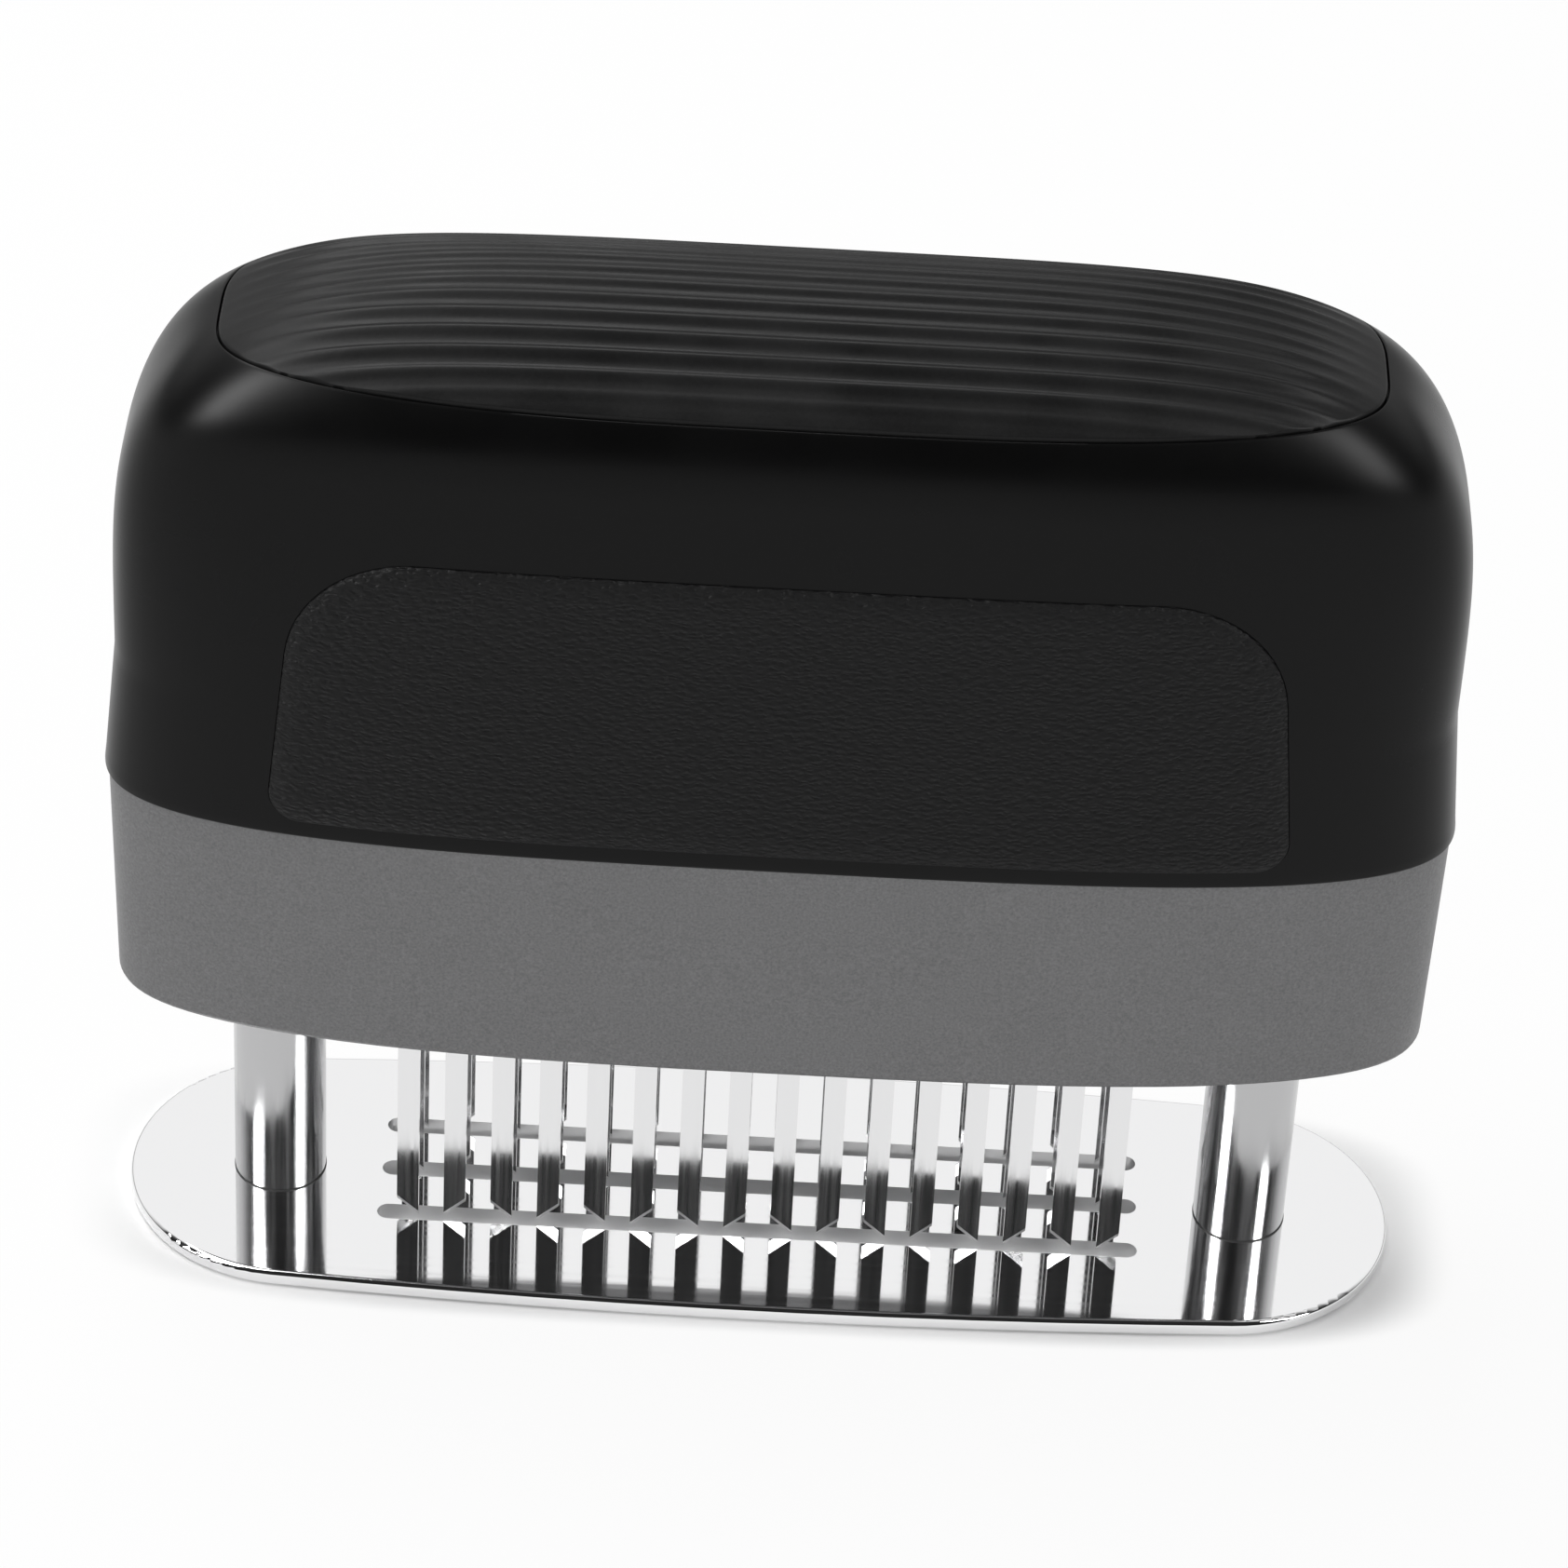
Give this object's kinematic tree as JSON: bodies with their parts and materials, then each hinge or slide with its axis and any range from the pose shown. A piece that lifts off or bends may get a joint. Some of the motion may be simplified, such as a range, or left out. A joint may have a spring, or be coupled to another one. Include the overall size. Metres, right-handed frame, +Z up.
{
  "type": "blade meat tenderizer",
  "caption": "Hand-held blade meat tenderizer: black domed handle with a ribbed top pad, grey collar, rows of steel blades and a slotted steel base plate on two sprung posts.",
  "frame": {"origin": "middle of the base plate's underside", "axes": "+Z up towards the top pad, X along the long side, -Y the front"},
  "size_m": [0.145, 0.0414, 0.1228],
  "materials": {
    "polished_steel": "mirror-polished stainless steel",
    "blade_steel": "polished stainless strip with ground tips",
    "satin_steel": "satin",
    "spring_steel": "bright drawn wire",
    "black_housing": "satin gloss black ABS",
    "grey_collar": "fine metallic grey paint on ABS",
    "black_rubber": "soft matte with long ribs",
    "grained_grip": "leather grain",
    "carrier_plastic": "moulded",
    "bushing_plastic": "natural acetal"
  },
  "bodies": {
    "base": {"base_plate": "polished_steel", "left_post": "polished_steel", "right_post": "polished_steel", "post_screws": "satin_steel", "left_spring": "spring_steel", "right_spring": "spring_steel"},
    "press_head": {"upper_housing": "black_housing", "lower_collar": "grey_collar", "top_grip_pad": "black_rubber", "front_grip_panel": "grained_grip", "rear_grip_panel": "grained_grip", "blade_carrier": "carrier_plastic", "comb_clamp": "satin_steel", "comb_pins": "satin_steel", "blade_comb_front": "blade_steel", "blade_comb_middle": "blade_steel", "blade_comb_rear": "blade_steel", "carrier_screws": "satin_steel", "collar_screws": "satin_steel", "left_bushing": "bushing_plastic", "right_bushing": "bushing_plastic", "left_stop_washer": "bushing_plastic", "right_stop_washer": "bushing_plastic", "left_spring_cup": "bushing_plastic", "right_spring_cup": "bushing_plastic"}
  },
  "joints": [
    {"name": "press_slide", "type": "slide", "parent": "base", "child": "press_head", "axis": [0, 0, -1], "range_m": [0, 0.026], "stiffness_N_per_m": 800, "springref_m": -0.015, "deforming": ["left_spring", "right_spring"]}
  ]
}
